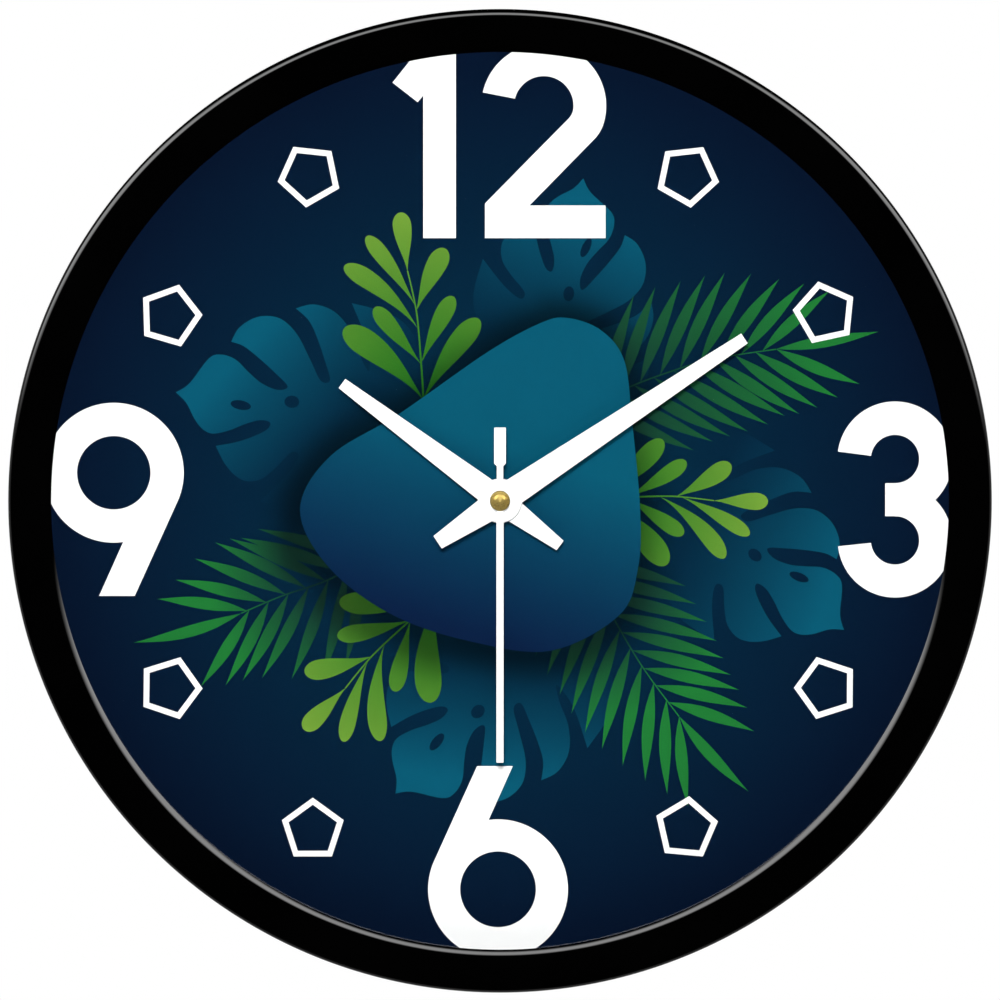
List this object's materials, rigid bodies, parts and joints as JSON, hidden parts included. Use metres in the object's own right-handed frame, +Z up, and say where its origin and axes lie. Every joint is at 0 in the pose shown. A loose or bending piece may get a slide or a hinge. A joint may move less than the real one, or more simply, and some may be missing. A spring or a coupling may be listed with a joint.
{
  "type": "analogue quartz wall clock",
  "caption": "Round analogue quartz wall clock: glossy frame, glass, printed dial, centre-seconds hands on a geared battery movement, keyhole hanger at the back.",
  "frame": {"origin": "on the wall, at the centre of the frame's rear rim, on the axis of the hands", "axes": "+Y into the wall, so the dial faces -Y; +X to the viewer's right; +Z up, to 12 o'clock"},
  "size_m": [0.3, 0.04, 0.3],
  "materials": {
    "frame_gloss_black": "polished",
    "clear_glass": "clear, polished",
    "case_black": "fine moulded texture",
    "movement_black": "fine moulded texture",
    "plate_resin": "moulded",
    "gear_resin": "moulded, natural",
    "dial_print": "printed, satin",
    "hand_white": "matt white lacquer",
    "brass": "turned",
    "steel": "bright zinc plate",
    "rubber": "matt",
    "board_green": "solder resist",
    "chip_epoxy": "cast resin",
    "copper_wire": "enamelled copper",
    "magnet": "sintered",
    "cell_wrap": "printed sleeve on steel, no text"
  },
  "bodies": {
    "case": {"bezel": "frame_gloss_black", "lens": "clear_glass", "dial_spacer_ring": "case_black", "dial": "dial_print", "rear_case": "case_black", "case_screws": "steel", "hanger_plate": "steel", "hanger_screws": "steel", "movement_housing": "movement_black", "movement_cover": "movement_black", "middle_plate": "plate_resin", "threaded_bush": "brass", "mounting_gasket": "rubber", "nut_washer": "brass", "mounting_nut": "brass", "positive_contact": "steel", "negative_contact": "steel", "circuit_board": "board_green", "control_chip": "chip_epoxy", "quartz_crystal": "steel", "coil_bobbin": "gear_resin", "coil_winding": "copper_wire", "coil_core": "steel", "stator": "steel"},
    "cell": {"battery": "cell_wrap"},
    "rotor": {"rotor_magnet": "magnet", "rotor_pinion": "gear_resin"},
    "intermediate": {"intermediate_wheel": "gear_resin", "intermediate_arbor": "steel"},
    "seconds": {"second_wheel": "gear_resin", "second_arbor": "steel", "second_hand": "hand_white", "second_hand_socket": "brass"},
    "third": {"third_wheel": "gear_resin", "third_arbor": "steel"},
    "minutes": {"centre_wheel": "gear_resin", "friction_spring": "steel", "cannon_pinion": "brass", "minute_hand_bush": "brass", "minute_hand": "hand_white"},
    "reduction": {"reduction_wheel": "gear_resin"},
    "hours": {"hour_wheel": "gear_resin", "hour_hand_bush": "brass", "hour_hand": "hand_white"},
    "setting": {"setting_knob": "plate_resin"}
  },
  "joints": [
    {"name": "second_turn", "type": "hinge", "parent": "case", "child": "seconds", "pos_m": [0, 0, 0], "axis": [0, 1, 0], "continuous": true},
    {"name": "minute_turn", "type": "hinge", "parent": "case", "child": "minutes", "pos_m": [0, 0, 0], "axis": [0, 1, 0], "continuous": true},
    {"name": "hour_turn", "type": "hinge", "parent": "case", "child": "hours", "pos_m": [0, 0, 0], "axis": [0, 1, 0], "continuous": true},
    {"name": "rotor_turn", "type": "hinge", "parent": "case", "child": "rotor", "pos_m": [-0.01095, 0, 0.01269], "axis": [0, 1, 0], "continuous": true},
    {"name": "intermediate_turn", "type": "hinge", "parent": "case", "child": "intermediate", "pos_m": [-0.0097, 0, 0.0056], "axis": [0, 1, 0], "continuous": true},
    {"name": "third_turn", "type": "hinge", "parent": "case", "child": "third", "pos_m": [0.01054, 0, 0.00384], "axis": [0, 1, 0], "continuous": true},
    {"name": "reduction_turn", "type": "hinge", "parent": "case", "child": "reduction", "pos_m": [0.00495, 0, 0.00857], "axis": [0, 1, 0], "continuous": true},
    {"name": "setting_turn", "type": "hinge", "parent": "case", "child": "setting", "pos_m": [0.0099, 0, 0.01715], "axis": [0, 1, 0], "continuous": true},
    {"name": "battery_pull", "type": "slide", "parent": "case", "child": "cell", "axis": [0, 1, 0], "range_m": [0, 0.03]}
  ],
  "couplings": [
    {"joint": "minute_turn", "follows": "second_turn", "ratio": 0.016667},
    {"joint": "hour_turn", "follows": "second_turn", "ratio": 0.0013889},
    {"joint": "rotor_turn", "follows": "second_turn", "ratio": 30},
    {"joint": "intermediate_turn", "follows": "second_turn", "ratio": -6},
    {"joint": "third_turn", "follows": "second_turn", "ratio": -0.13333},
    {"joint": "reduction_turn", "follows": "second_turn", "ratio": -0.0055556},
    {"joint": "setting_turn", "follows": "second_turn", "ratio": 0.016667}
  ]
}
